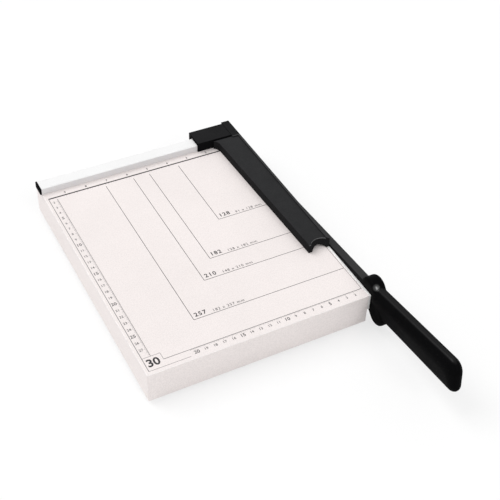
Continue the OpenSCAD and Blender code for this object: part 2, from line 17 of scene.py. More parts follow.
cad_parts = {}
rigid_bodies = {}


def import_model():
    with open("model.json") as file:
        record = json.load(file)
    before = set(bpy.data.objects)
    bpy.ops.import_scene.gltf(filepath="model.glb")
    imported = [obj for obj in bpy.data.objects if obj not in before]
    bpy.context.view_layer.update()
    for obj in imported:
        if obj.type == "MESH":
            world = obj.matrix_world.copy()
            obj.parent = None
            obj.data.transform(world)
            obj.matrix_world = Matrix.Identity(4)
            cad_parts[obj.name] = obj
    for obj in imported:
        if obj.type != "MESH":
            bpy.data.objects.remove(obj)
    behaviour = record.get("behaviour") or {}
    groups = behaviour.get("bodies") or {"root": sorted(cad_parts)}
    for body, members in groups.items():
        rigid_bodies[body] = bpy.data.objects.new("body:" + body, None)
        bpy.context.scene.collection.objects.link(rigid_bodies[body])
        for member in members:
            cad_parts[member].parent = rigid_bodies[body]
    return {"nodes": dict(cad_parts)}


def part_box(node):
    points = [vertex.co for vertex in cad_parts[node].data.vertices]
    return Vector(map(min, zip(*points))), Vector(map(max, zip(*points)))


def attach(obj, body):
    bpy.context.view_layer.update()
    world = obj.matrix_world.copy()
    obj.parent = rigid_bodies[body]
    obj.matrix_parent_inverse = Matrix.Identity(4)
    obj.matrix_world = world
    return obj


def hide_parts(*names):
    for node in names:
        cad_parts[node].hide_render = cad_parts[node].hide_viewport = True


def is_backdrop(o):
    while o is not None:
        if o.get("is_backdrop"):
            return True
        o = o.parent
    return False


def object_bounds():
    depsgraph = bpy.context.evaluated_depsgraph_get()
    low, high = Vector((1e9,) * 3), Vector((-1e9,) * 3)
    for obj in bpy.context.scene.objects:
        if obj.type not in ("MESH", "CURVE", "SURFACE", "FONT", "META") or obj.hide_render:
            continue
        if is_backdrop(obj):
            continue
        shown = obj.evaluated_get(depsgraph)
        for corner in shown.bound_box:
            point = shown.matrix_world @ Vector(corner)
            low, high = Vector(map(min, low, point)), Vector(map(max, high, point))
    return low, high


for start_object in list(bpy.data.objects):
    bpy.data.objects.remove(start_object)
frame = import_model()
cad_low, cad_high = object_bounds()

# %% [markdown]
# ## Landmarks
#
# A few planes place everything that follows: the table's top, the cut along the right edge, and
# the squaring face of the fence. Reading them from the boxes of the solids is better than typing
# numbers, because the pieces then follow the solids when a size changes. The corner where the cut
# meets the fence, at desk height, is the point from which the camera and the print are measured.

# %% Read the landmarks
MM = 0.001
tray_low, tray_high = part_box("base_tray")
fence_low, fence_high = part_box("fence")
guard_low, guard_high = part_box("finger_guard")
table_z = tray_high.z
cut_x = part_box("bed_knife")[1].x
fence_y = fence_low.y
corner = Vector((cut_x, fence_y, 0))
print("table", [round(side / MM, 1) for side in tray_high - tray_low], "mm")

# %% [markdown]
# ## Camera
#
# The photograph looks down on the front left corner with a moderately long lens, held a little
# off level. Three things fix such a camera: where it stands, the point it looks at, and how far it
# is rolled about its own line of sight. to_track_quat turns the line of sight into a rotation, and
# the roll is one more turn about the camera's own Z axis.

# %% Set up the camera
CAMERA_AT = corner + Vector((-474.6, -902.6, 773.4)) * MM
LOOK_AT = corner + Vector((-80.35, -185.8, 41.0)) * MM
CAMERA_ROLL = radians(2.06)
LENS_MM = 73.42
SENSOR_MM = 36
camera_data = bpy.data.cameras.new("photo_camera")
camera_data.lens = LENS_MM
camera_data.sensor_width = SENSOR_MM
camera = bpy.data.objects.new("photo_camera", camera_data)
camera.location = CAMERA_AT
level_turn = (LOOK_AT - CAMERA_AT).to_track_quat("-Z", "Y")
camera.rotation_euler = (level_turn @ Quaternion((0, 0, 1), CAMERA_ROLL)).to_euler()
bpy.context.scene.collection.objects.link(camera)
bpy.context.scene.camera = camera
print("camera is", round((LOOK_AT - CAMERA_AT).length, 3), "m from the table")

# %% [markdown]
# ## Room and light
#
# A product like this is shot on a pale sweep under a large soft source. A sun lamp with a wide
# angle gives that soft, even key without fading across the table; it stands high behind the
# table and to its left, so that the top faces and the upper ridge of the grip catch it. A weaker
# second sun fills the front. The world is a dome of plain light; what the lens and reflections
# see of it is white.

# %% Make the room
def add_node(tree, kind, **sockets):
    made = tree.nodes.new("ShaderNode" + kind)
    for socket, value in sockets.items():
        made.inputs[socket.replace("_", " ")].default_value = value
    return made


def add_math(tree, operation, first, second):
    """A math node; each operand is a number or another node's output."""
    made = add_node(tree, "Math")
    made.operation = operation
    for index, operand in enumerate((first, second)):
        if isinstance(operand, bpy.types.NodeSocket):
            tree.links.new(operand, made.inputs[index])
        else:
            made.inputs[index].default_value = operand
    return made.outputs[0]


AMBIENT = 0.54
KEY_TOWARD = (-0.4, 0.42, 0.81)
KEY_STRENGTH = 1.5
KEY_SPREAD = 45
FILL_TOWARD = (0.15, -0.72, 0.67)
FILL_STRENGTH = 0.72
FILL_SPREAD = 30
world = bpy.data.worlds.new("studio_dome")
world.use_nodes = True
dome = world.node_tree
dome.nodes.clear()
ray = add_node(dome, "LightPath")
seen = add_math(dome, "MAXIMUM", ray.outputs["Is Camera Ray"], ray.outputs["Is Glossy Ray"])
seen = add_math(dome, "MAXIMUM", seen, ray.outputs["Is Transmission Ray"])
dome_light = add_node(dome, "Background", Color=(1, 1, 1, 1), Strength=AMBIENT)
white_sight = add_node(dome, "Background", Color=(1, 1, 1, 1), Strength=1.0)
chosen = add_node(dome, "MixShader")
dome_out = add_node(dome, "OutputWorld")
dome.links.new(seen, chosen.inputs[0])
dome.links.new(dome_light.outputs[0], chosen.inputs[1])
dome.links.new(white_sight.outputs[0], chosen.inputs[2])
dome.links.new(chosen.outputs[0], dome_out.inputs["Surface"])
bpy.context.scene.world = world
bpy.context.scene.view_settings.view_transform = "Standard"


def add_sun(name, toward, strength, spread):
    """A sun that stands in the direction toward, with its spread in degrees."""
    lamp = bpy.data.lights.new(name, "SUN")
    lamp.energy = strength
    lamp.angle = radians(spread)
    sun = bpy.data.objects.new(name, lamp)
    sun.rotation_euler = Vector(toward).to_track_quat("Z", "Y").to_euler()
    bpy.context.scene.collection.objects.link(sun)


add_sun("key_sun", KEY_TOWARD, KEY_STRENGTH, KEY_SPREAD)
add_sun("front_fill", FILL_TOWARD, FILL_STRENGTH, FILL_SPREAD)
print("room: dome", AMBIENT, "with two soft suns")

# %% [markdown]
# The sweep under the trimmer is a plain pale sheet. To the lens it also shines a little, which
# keeps it white and the object's shadow faint, while the light that it throws back on the
# object stays that of an ordinary pale surface.

# %% Lay the floor
FLOOR_HALF = 3.0
FLOOR_SHINE = 0.65
FLOOR_WHITE = (0.95, 0.95, 0.95, 1)
FLOOR_ROUGHNESS = 0.9
floor_bm = bmesh.new()
bmesh.ops.create_grid(floor_bm, x_segments=1, y_segments=1, size=FLOOR_HALF)
floor_mesh = bpy.data.meshes.new("studio_floor")
floor_bm.to_mesh(floor_mesh)
floor_bm.free()
floor = bpy.data.objects.new("studio_floor", floor_mesh)
bpy.context.scene.collection.objects.link(floor)
floor_paint = bpy.data.materials.new("pale_sweep")
floor_paint.use_nodes = True
sweep = floor_paint.node_tree
floor_shader = sweep.nodes["Principled BSDF"]
floor_shader.inputs["Base Color"].default_value = FLOOR_WHITE
floor_shader.inputs["Roughness"].default_value = FLOOR_ROUGHNESS
floor_shader.inputs["Specular IOR Level"].default_value = 0.0
floor_ray = add_node(sweep, "LightPath")
floor_glow = add_node(sweep, "Emission", Color=(1, 1, 1, 1), Strength=1.0)
floor_mix = add_node(sweep, "MixShader")
shine = add_math(sweep, "MULTIPLY", floor_ray.outputs["Is Camera Ray"], FLOOR_SHINE)
sweep.links.new(shine, floor_mix.inputs[0])
sweep.links.new(floor_shader.outputs[0], floor_mix.inputs[1])
sweep.links.new(floor_glow.outputs[0], floor_mix.inputs[2])
sweep.links.new(floor_mix.outputs[0], sweep.nodes["Material Output"].inputs["Surface"])
floor_mesh.materials.append(floor_paint)
floor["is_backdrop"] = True
print("floor", 2 * FLOOR_HALF, "m wide")

# %% [markdown]
# ## Shared surface effects
#
# Paint, plastic and steel all vary a little from place to place, and each needs the same few
# tricks: a tone that wanders, a gloss that has been handled, and a fine relief. Each trick is a
# node group with its own inputs, so a material only has to choose the values. They all read
# Object coordinates in metres: a noise scale of 1000 has features of about one millimetre.

# %% Build the node groups
NOISE_LOW = 0.3
NOISE_HIGH = 0.7
NOISE_ROUGHNESS = 0.6
RELIEF_ROUGHNESS = 0.55
SPECK_DETAIL = 1
CLOUD_DETAIL = 3
TOUCH_DETAIL = 4
RELIEF_DETAIL = 2


def new_group(name, inputs, outputs):
    group = bpy.data.node_groups.new(name, "ShaderNodeTree")
    for label, kind in inputs.items():
        group.interface.new_socket(label, in_out="INPUT", socket_type="NodeSocket" + kind)
    for label, kind in outputs.items():
        group.interface.new_socket(label, in_out="OUTPUT", socket_type="NodeSocket" + kind)
    return group, group.nodes.new("NodeGroupInput"), group.nodes.new("NodeGroupOutput")


def wander(group, source, scale_label, amount_label, detail):
    """A noise that becomes a factor of one, more or less the given amount."""
    noise = add_node(group, "TexNoise", Detail=detail, Roughness=NOISE_ROUGHNESS)
    group.links.new(source.outputs["Vector"], noise.inputs["Vector"])
    group.links.new(source.outputs[scale_label], noise.inputs["Scale"])
    swing = add_node(group, "MapRange", From_Min=NOISE_LOW, From_Max=NOISE_HIGH)
    amount = source.outputs[amount_label]
    group.links.new(add_math(group, "SUBTRACT", 1.0, amount), swing.inputs["To Min"])
    group.links.new(add_math(group, "ADD", 1.0, amount), swing.inputs["To Max"])
    group.links.new(noise.outputs["Fac"], swing.inputs["Value"])
    return swing.outputs["Result"]


tone_group, tone_in, tone_out = new_group(
    "wandering_tone",
    {"Vector": "Vector", "Color": "Color", "Speck Scale": "Float", "Speck Amount": "Float",
     "Cloud Scale": "Float", "Cloud Amount": "Float"},
    {"Color": "Color"})
specks = wander(tone_group, tone_in, "Speck Scale", "Speck Amount", SPECK_DETAIL)
clouds = wander(tone_group, tone_in, "Cloud Scale", "Cloud Amount", CLOUD_DETAIL)
tinted = add_node(tone_group, "VectorMath")
tinted.operation = "SCALE"
tone_group.links.new(tone_in.outputs["Color"], tinted.inputs[0])
tone_group.links.new(add_math(tone_group, "MULTIPLY", specks, clouds), tinted.inputs["Scale"])
tone_group.links.new(tinted.outputs[0], tone_out.inputs["Color"])

gloss_group, gloss_in, gloss_out = new_group(
    "handled_gloss",
    {"Vector": "Vector", "Scale": "Float", "Roughness": "Float", "Spread": "Float"},
    {"Roughness": "Float"})
touched = wander(gloss_group, gloss_in, "Scale", "Spread", TOUCH_DETAIL)
gloss = add_math(gloss_group, "MULTIPLY", touched, gloss_in.outputs["Roughness"])
gloss_group.links.new(gloss, gloss_out.inputs["Roughness"])

relief_group, relief_in, relief_out = new_group(
    "fine_relief",
    {"Vector": "Vector", "Stretch": "Vector", "Scale": "Float"},
    {"Height": "Float"})
drawn = add_node(relief_group, "VectorMath")
drawn.operation = "MULTIPLY"
relief_noise = add_node(relief_group, "TexNoise", Detail=RELIEF_DETAIL,
                        Roughness=RELIEF_ROUGHNESS)
relief_group.links.new(relief_in.outputs["Vector"], drawn.inputs[0])
relief_group.links.new(relief_in.outputs["Stretch"], drawn.inputs[1])
relief_group.links.new(drawn.outputs[0], relief_noise.inputs["Vector"])
relief_group.links.new(relief_in.outputs["Scale"], relief_noise.inputs["Scale"])
relief_group.links.new(relief_noise.outputs["Fac"], relief_out.inputs["Height"])
print("node groups:", [group.name for group in bpy.data.node_groups])

# %% [markdown]
# ## Finishes
#
# One function lays the three effects under a Principled shader. What is the same all over a
# surface, such as how strongly it mirrors, is set on the shader itself; what wanders comes from
# the groups. Each finish then reads as a short list of facts about the real coating. The pairs
# give a noise scale and an amount; the relief's amount is a height in millimetres. Where hands
# have polished a piece, an attribute of its own mesh says how much, and a clear coat shows it.

# %% Write the finish recipe
POLISH_ROUGHNESS = 0.25
POLISH_IOR = 2.1


def finish(name, color, roughness, speck=(900, 0.03), cloud=(14, 0.02), handled=(70, 0.12),
           relief=(1500, 0.02), stretch=(1, 1, 1), metallic=0.0, mirror=0.5, polished=None):
    material = bpy.data.materials.new(name)
    material.use_nodes = True
    tree = material.node_tree
    shader = tree.nodes["Principled BSDF"]
    shader.inputs["Metallic"].default_value = metallic
    shader.inputs["Specular IOR Level"].default_value = mirror
    place = add_node(tree, "TexCoord")

    def use_group(group, **sockets):
        made = tree.nodes.new("ShaderNodeGroup")
        made.node_tree = group
        for socket, value in sockets.items():
            made.inputs[socket.replace("_", " ")].default_value = value
        tree.links.new(place.outputs["Object"], made.inputs["Vector"])
        return made

    tone = use_group(tone_group, Color=(*color, 1), Speck_Scale=speck[0], Speck_Amount=speck[1],
                     Cloud_Scale=cloud[0], Cloud_Amount=cloud[1])
    worn = use_group(gloss_group, Scale=handled[0], Roughness=roughness, Spread=handled[1])
    height = use_group(relief_group, Stretch=stretch, Scale=relief[0])
    bump = add_node(tree, "Bump", Strength=1.0, Distance=relief[1] * MM)
    tree.links.new(tone.outputs["Color"], shader.inputs["Base Color"])
    tree.links.new(worn.outputs["Roughness"], shader.inputs["Roughness"])
    tree.links.new(height.outputs["Height"], bump.inputs["Height"])
    tree.links.new(bump.outputs["Normal"], shader.inputs["Normal"])
    if polished:
        rubbed = add_node(tree, "Attribute")
        rubbed.attribute_name = polished
        tree.links.new(rubbed.outputs["Fac"], shader.inputs["Coat Weight"])
        shader.inputs["Coat Roughness"].default_value = POLISH_ROUGHNESS
        shader.inputs["Coat IOR"].default_value = POLISH_IOR
    return material


# %% [markdown]
# The table is powder-coated a warm white with a faint speckle. The fence is a cooler white on
# top, and its squaring face is a pale grey that is painted shade. The black mouldings have a
# spark-eroded grain on their upper faces, which are painted lighter as painted light from above,
# and their walls are matt and painted darker as painted shade; a matt black mirrors next to
# nothing.
# Steel that is ground shows fine lines along its length, which the relief group draws by
# stretching its noise.

# %% Mix the finishes
table_white = finish("table_white", (0.85, 0.79, 0.775), 0.5, speck=(850, 0.06),
                     relief=(700, 0.05), mirror=0.3)
# A painted highlight: a paler white for the upper folds of the table.
painted_fold_highlight = finish("painted_fold_highlight", (0.93, 0.9, 0.89), 0.45, relief=(700, 0.03), mirror=0.4)
fence_white = finish("fence_white", (0.87, 0.87, 0.87), 0.45, relief=(700, 0.03), mirror=0.3)
# Painted shade: a grey for the fence's squaring face, darker than its white top.
fence_painted_shade = finish("fence_painted_shade", (0.75, 0.74, 0.745), 0.5, speck=(1200, 0.05), mirror=0.25)
# Painted light: the grained upper faces of the guard are a lighter black than its walls.
painted_light_grained_black = finish("painted_light_grained_black", (0.0145, 0.0147, 0.0156), 0.62, speck=(900, 0.25),
                       cloud=(25, 0.06), relief=(1200, 0.08), mirror=0.12)
# Painted light on the block's top, and painted shade on the guard's rear arm and step.
painted_light_and_shade_black = finish("painted_light_and_shade_black", (0.0075, 0.0075, 0.0082), 0.6, speck=(900, 0.2),
                     relief=(1200, 0.06), mirror=0.06)
plain_black = finish("plain_black", (0.006, 0.006, 0.0065), 0.6, speck=(1000, 0.1),
                     relief=(1500, 0.03), mirror=0.004)
wall_black = finish("wall_black", (0.014, 0.014, 0.0147), 0.6, speck=(1000, 0.15),
                    relief=(1500, 0.03), mirror=0.01)
# A painted highlight on the guard's rim beside the cut.
painted_rim_highlight = finish("painted_rim_highlight", (0.022, 0.022, 0.023), 0.5, speck=(700, 0.25), mirror=0.15)
# A painted highlight on the guard's crown over its mouth.
painted_crown_highlight = finish("painted_crown_highlight", (0.09, 0.09, 0.092), 0.5, speck=(700, 0.25), mirror=0.2)
grip_black = finish("grip_black", (0.003, 0.003, 0.0033), 0.45, speck=(800, 0.1),
                    relief=(1300, 0.02), mirror=0.01, polished="polish")
# Painted light: the bar's top is a lighter black than its walls.
painted_light_bar_top = finish("painted_light_bar_top", (0.019, 0.019, 0.0195), 0.45, speck=(900, 0.12), cloud=(30, 0.15),
                  relief=(1100, 0.03), mirror=0.15)
bar_black = finish("bar_black", (0.012, 0.012, 0.0125), 0.5, relief=(1100, 0.03), mirror=0.004)
knife_steel = finish("knife_steel", (0.96, 0.95, 0.94), 0.4, speck=(600, 0.04),
                     relief=(2500, 0.012), stretch=(1, 0.02, 1), metallic=0.15)
ground_steel = finish("ground_steel", (0.78, 0.78, 0.79), 0.28, speck=(600, 0.05),
                      relief=(2500, 0.012), stretch=(1, 0.02, 1), metallic=1.0)
zinc_plate = finish("zinc_plate", (0.62, 0.63, 0.65), 0.34, speck=(500, 0.06),
                    handled=(300, 0.2), relief=(2000, 0.01), metallic=1.0)
bush_brass = finish("bush_brass", (0.70, 0.52, 0.25), 0.3, handled=(250, 0.2),
                    relief=(2000, 0.01), metallic=1.0)
foot_rubber = finish("foot_rubber", (0.012, 0.012, 0.012), 0.8, speck=(1500, 0.2),
                     relief=(1400, 0.05), mirror=0.2)
line_ink = finish("line_ink", (0.12, 0.115, 0.115), 0.6, speck=(1500, 0.1), mirror=0.2)
bold_ink = finish("bold_ink", (0.04, 0.038, 0.04), 0.6, speck=(1500, 0.1), mirror=0.2)
print("finishes:", len(bpy.data.materials) - 1)

# %% [markdown]
# ## Helpers for the pieces
#
# Every piece starts as a bmesh, gets its edges rounded, and becomes an object that rides on a
# body. A real edge is never perfectly sharp: even a tenth of a millimetre of radius catches a
# line of light, and that line is what tells the eye how big the thing is. A clamped bevel stops
# where two roundings would meet, and one very short edge can stop all of it, so a piece that has
# such edges leaves them out.

# %% Define the helpers
WELD = 0.002 * MM
SLIVER = 0.005 * MM
FLAT_WITHIN = radians(0.5)
UPWARD = 0.85
FRONTWARD = 0.8


def add_box(bm, low, high):
    low, high = Vector(low), Vector(high)
    place = Matrix.Translation((low + high) / 2) @ Matrix.Diagonal((*(high - low), 1))
    bmesh.ops.create_cube(bm, size=1, matrix=place)


def sharp_edges(bm, degrees=38, shortest=0.0):
    """The edges that turn by more than the degrees and are longer than the shortest."""
    return [edge for edge in bm.edges
            if edge.is_manifold and edge.calc_face_angle() > radians(degrees)
            and edge.calc_length() > shortest]


def round_edges(bm, edges, radius, segments=3, clamp=True):
    bmesh.ops.bevel(bm, geom=edges, offset=radius, offset_type="OFFSET", affect="EDGES",
                    segments=segments, profile=0.5, material=-1, clamp_overlap=clamp)


def round_corners(bm, corners, radius, segments=5):
    bmesh.ops.bevel(bm, geom=corners, offset=radius, offset_type="OFFSET", affect="VERTICES",
                    segments=segments, profile=0.5, material=-1)


def draw_path(bm, points):
    """An open chain of edges through the points; its verts are handed back."""
    verts = [bm.verts.new(point) for point in points]
    for start, end in zip(verts, verts[1:]):
        bm.edges.new((start, end))
    return verts


def make_piece(name, bm, finishes, body, nodes=(), smooth=40, flats=True):
    """Turn the bmesh into a piece that rides on the body and stands in for the nodes."""
    mesh = bpy.data.meshes.new(name)
    bm.to_mesh(mesh)
    bm.free()
    imported_normals = mesh.attributes.get("custom_normal")
    if imported_normals:
        mesh.attributes.remove(imported_normals)
    for material in finishes:
        mesh.materials.append(material)
    mesh.shade_smooth()
    mesh.set_sharp_from_angle(angle=radians(smooth))
    piece = bpy.data.objects.new(name, mesh)
    bpy.context.scene.collection.objects.link(piece)
    if flats:
        piece.modifiers.new("keep_flats_flat", "WEIGHTED_NORMAL").keep_sharp = True
    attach(piece, body)
    if nodes:
        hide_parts(*nodes)
    print(f"{name}: {len(mesh.polygons)} faces on {body}")


def merged_copy(node):
    """The node's own solid as a welded mesh with whole flat faces."""
    bm = bmesh.new()
    bm.from_mesh(frame["nodes"][node].data)
    bmesh.ops.remove_doubles(bm, verts=bm.verts, dist=WELD)
    bmesh.ops.dissolve_limit(bm, angle_limit=FLAT_WITHIN, verts=bm.verts, edges=bm.edges)
    for face in bm.faces:
        face.material_index = 0
    return bm


def paint_faces(bm, index, wanted):
    """Give the faces for which wanted(normal, middle) holds the finish of that index."""
    bm.normal_update()
    for face in bm.faces:
        if wanted(face.normal, face.calc_center_median()):
            face.material_index = index


def looks_up(normal, middle):
    return normal.z > UPWARD


def looks_front(normal, middle):
    return normal.y < -FRONTWARD


# %% [markdown]
# ## The table
#
# The table is one sheet of steel, folded down on all sides and turned in under them as lips. A
# box already has those faces: we open its underside to leave the lips, round the folds with a
# bevel, and let solidify give the sheet its thickness. Modelling the sheet this way, and not as a
# block, keeps the underside hollow as on the real one. The upper folds are painted a paler white,
# a painted highlight along them.

# %% Fold the table
SHEET = 1.2 * MM
FOLD_R = 1.6 * MM
TIGHT_R = 0.5 * MM
LIP = 16 * MM
NEAR = 1 * MM
FOLD_ANGLE = 60
FOLD_STEEPEST = 0.3
FOLD_FLATTEST = 0.95


def is_upper_fold(normal, middle):
    return FOLD_STEEPEST < normal.z < FOLD_FLATTEST


tray = bmesh.new()
add_box(tray, tray_low, tray_high)
underside = min(tray.faces, key=lambda face: face.calc_center_median().z)
bmesh.ops.inset_region(tray, faces=[underside], thickness=LIP)
bmesh.ops.delete(tray, geom=[underside], context="FACES_ONLY")
by_knife = [edge for edge in tray.edges
            if all(vert.co.x > tray_high.x - NEAR and vert.co.z > table_z - NEAR
                   for vert in edge.verts)]
round_edges(tray, by_knife, TIGHT_R)
round_edges(tray, sharp_edges(tray, FOLD_ANGLE), FOLD_R, segments=5)
bmesh.ops.remove_doubles(tray, verts=tray.verts, dist=SLIVER)
bmesh.ops.recalc_face_normals(tray, faces=tray.faces)
# The upper folds get the painted highlight, a paler white than the top.
paint_faces(tray, 1, is_upper_fold)
bmesh.ops.solidify(tray, geom=tray.faces[:], thickness=SHEET)
make_piece("folded_table", tray, [table_white, painted_fold_highlight], "base", ["base_tray"])

# %% [markdown]
# ## The fence
#
# The fence is a folded strip with a turned-in foot. Its section is a path of five points; a
# vertex bevel rounds the folds, extruding the path draws it along the table, and solidify makes
# the sheet. The squaring face is painted a paler grey, painted shade for the shade it lies in, so
# the faces that look to the front take the second finish.

# %% Fold the fence
FENCE_FOOT = 9 * MM
FENCE_FOLD_R = 1.5 * MM
fence = bmesh.new()
section = [(fence_high.y - FENCE_FOOT, fence_low.z), (fence_high.y, fence_low.z),
           (fence_high.y, fence_high.z), (fence_low.y, fence_high.z), (fence_low.y, fence_low.z)]
path = draw_path(fence, [(fence_low.x, y, z) for y, z in section])
round_corners(fence, path[1:-1], FENCE_FOLD_R)
run_out = bmesh.ops.extrude_edge_only(fence, edges=fence.edges[:])["geom"]
far_end = [item for item in run_out if isinstance(item, bmesh.types.BMVert)]
bmesh.ops.translate(fence, vec=(fence_high.x - fence_low.x, 0, 0), verts=far_end)
bmesh.ops.recalc_face_normals(fence, faces=fence.faces)
top_face = max(fence.faces, key=lambda face: face.calc_center_median().z)
if top_face.normal.z < 0:
    bmesh.ops.reverse_faces(fence, faces=fence.faces)
bmesh.ops.solidify(fence, geom=fence.faces[:], thickness=SHEET)
# The faces that look to the front get painted shade, a grey darker than the top.
paint_faces(fence, 1, looks_front)
make_piece("fence_strip", fence, [fence_white, fence_painted_shade], "base", ["fence"])

# %% [markdown]
# ## Mouldings and steel with rounded edges
#
# The block, the bar and the steel pieces already have the right shape as solids, so a welded copy
# with rounded edges is all they need. The upper faces of the block and of the bar take a second,
# slightly paler finish, painted light from above against their darker walls.

# %% Round the block, the bar and the knives
CAP_R = 0.5 * MM
BLOCK_R = 0.9 * MM
BAR_R = 0.5 * MM
KNIFE_R = 0.15 * MM
BLADE_R = 0.06 * MM
HOLE_RIM = 0.6 * MM


def rounded_node(node, radius, finishes, body, segments=3, shortest=0.0):
    """A piece that is the node's own solid with its sharp edges rounded."""
    bm = merged_copy(node)
    round_edges(bm, sharp_edges(bm, shortest=shortest), radius, segments)
    # Where there is a second finish, it is painted light on the faces that look up.
    if len(finishes) > 1:
        paint_faces(bm, 1, looks_up)
    make_piece(node + "_rounded", bm, finishes, body, [node])


rounded_node("fence_end_cap", CAP_R, [plain_black], "base")
rounded_node("guard_block", BLOCK_R, [plain_black, painted_light_and_shade_black], "base")
rounded_node("arm_bar", BAR_R, [bar_black, painted_light_bar_top], "arm", shortest=HOLE_RIM)
rounded_node("bed_knife", KNIFE_R, [knife_steel], "base", segments=2,
             shortest=HOLE_RIM)
rounded_node("blade", BLADE_R, [ground_steel], "arm", segments=1)

# %% [markdown]
# The guard takes more care. A cut across it parts its long top from its rear arm, so that each
# can have its own finish. The edge over its hollow mouth, its crown, is rounded first and widely;
# its long outer edges follow with a finer radius, and the corner at the foot of its rim stays
# crisp. The rim beside the cut and the crown get a painted highlight, a greyer shade; the rear arm
# and the step up to the rim get painted shade, a darker one.

# %% Round the finger guard
CROWN_REACH = 13 * MM
CROWN_DROP = 3 * MM
CROWN_STEEPEST = 0.3
CROWN_FLATTEST = 0.93
CROWN_FRONT = 0.45
CROWN_R = 0.8 * MM
CROWN_EDGE = 0.5 * MM
MOUTH_FRONT = 0.3
RIM_H = 1 * MM
STEP_LEFT = 0.3
GUARD_REAR = fence_y - 4 * MM
GUARD_WELD = 0.3 * MM
GUARD_R = 0.3 * MM
LONG_EDGE = 5 * MM
SNAP = 0.05 * MM


def is_rim(normal, middle):
    on_rim = middle.z > guard_high.z - RIM_H / 2 and middle.y < GUARD_REAR
    return looks_up(normal, middle) and on_rim


def is_shaded(normal, middle):
    """True on the guard's rear arm and on the step up to its rim."""
    on_rear_arm = looks_up(normal, middle) and middle.y > GUARD_REAR
    on_step = normal.x < -STEP_LEFT and middle.z > guard_high.z - RIM_H
    return on_rear_arm or on_step


def is_crown(normal, middle):
    near_nose = middle.y < guard_low.y + CROWN_REACH and middle.z > guard_high.z - CROWN_DROP
    slopes = CROWN_STEEPEST < normal.z < CROWN_FLATTEST and normal.y < -CROWN_FRONT
    return near_nose and slopes


def over_mouth(edge):
    """True for an edge where the guard's top, below its rim, meets its hollow front."""
    normals = [face.normal for face in edge.link_faces]
    at_front = all(vert.co.y < guard_low.y + CROWN_REACH for vert in edge.verts)
    below_rim = all(vert.co.z < guard_high.z - RIM_H / 2 for vert in edge.verts)
    meets_top = max(normal.z for normal in normals) > UPWARD
    meets_front = min(normal.y for normal in normals) < -MOUTH_FRONT
    return at_front and below_rim and meets_top and meets_front


guard = merged_copy("finger_guard")
bmesh.ops.bisect_plane(guard, geom=guard.verts[:] + guard.edges[:] + guard.faces[:],
                       dist=SNAP, plane_co=(0, GUARD_REAR, 0), plane_no=(0, 1, 0))
bmesh.ops.remove_doubles(guard, verts=guard.verts, dist=GUARD_WELD)
guard.normal_update()
crown = [edge for edge in sharp_edges(guard, shortest=CROWN_EDGE) if over_mouth(edge)]
round_edges(guard, crown, CROWN_R, clamp=False)
guard.normal_update()
outer = [edge for edge in sharp_edges(guard, shortest=LONG_EDGE) if edge.is_convex]
round_edges(guard, outer, GUARD_R, clamp=False)
bmesh.ops.remove_doubles(guard, verts=guard.verts, dist=SLIVER)
# The upper faces get painted light, the rim and the crown a painted highlight, and the rear arm
# and the step painted shade.
for index, test in enumerate((looks_up, is_rim, is_shaded, is_crown), start=1):
    paint_faces(guard, index, test)
make_piece("finger_guard_rounded", guard,
           [wall_black, painted_light_grained_black, painted_rim_highlight, painted_light_and_shade_black, painted_crown_highlight], "guard",
           ["finger_guard"])

# %% [markdown]
# ## The grip
#
# The grip is one soft moulding: a finger stop with a round knob above and a lobe below runs into
# a long rounded handle. Each of the two is a few rounds with a skin pulled tight over them, which
# is what convex_hull does. A voxel remesh then joins both into one even skin, a smooth modifier
# lets the creases flow into hollows, and a boolean sinks the two screw holes. The modifiers are
# settled into a plain mesh, so that an attribute can say where hands have polished it: along the
# ridge, and at the rest for the thumb. Places on the arm are in millimetres: along the bar and
# above it from the pivot, and across it from the cut.

# %% Mould the grip
ARM_TILT = radians(3.689)
GRIP_LEFT = 0.3
GRIP_T = 15.0
GRIP_MID = GRIP_LEFT + GRIP_T / 2
HANDLE_EGGS = (
    {"along": 320, "up": -3.6, "diameter": 22, "thickness": 17},
    {"along": 324, "up": -18.0, "diameter": 14, "thickness": 13.5},
    {"along": 441, "up": 0.9, "diameter": 28, "thickness": 17},
    {"along": 447, "up": -13.0, "diameter": 18, "thickness": 13.5},
)
HILT_PILLS = (
    {"along": 307.4, "up": -1.7, "diameter": 29},
    {"along": 324, "up": -23.2, "diameter": 25},
)
HILT_EDGE = 3.5
RIM_ANGLE = 1.0
ROUND_STEPS = 48
RIM_STEPS = 8
GRIP_VOXEL = 0.7 * MM
FLOW_FACTOR = 0.5
FLOW_STEPS = 8
HOLE_R = 2.95
HOLE_DEPTH = 3.0
HOLE_STEPS = 32
SCREWS_ALONG = (362, 412)
SCREWS_UP = -1.7
POLISH_FROM = 0.86
POLISH_TOWARD = Vector((-0.12, 0, 0.993))
RIDGE_POLISH = 0.11
THUMB_REST = {"across": 4, "along": 317, "up": 8}
THUMB_REACH = 4.2 * MM
bush_low, bush_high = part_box("pivot_bush")
pivot = (bush_low + bush_high) / 2
arm_place = Matrix.Translation((cut_x, pivot.y, pivot.z)) @ Matrix.Rotation(-ARM_TILT, 4, "X")


def on_arm(across, along, up):
    """A place given in mm across, along and above the bar, as a matrix."""
    return arm_place @ Matrix.Translation(Vector((across, -along, up)) * MM)


def add_pill(bm, along, up, diameter):
    """A round plate as thick as the grip, with a rounded rim."""
    place = on_arm(GRIP_MID, along, up) @ Matrix.Rotation(pi / 2, 4, "Y")
    radius = diameter / 2 * MM
    made = bmesh.ops.create_cone(bm, cap_ends=True, segments=ROUND_STEPS, radius1=radius,
                                 radius2=radius, depth=GRIP_T * MM, matrix=place)["verts"]
    links = {link for vert in made for link in vert.link_edges}
    rim = [link for link in links if link.calc_face_angle() > RIM_ANGLE]
    round_edges(bm, rim, HILT_EDGE * MM, segments=RIM_STEPS)


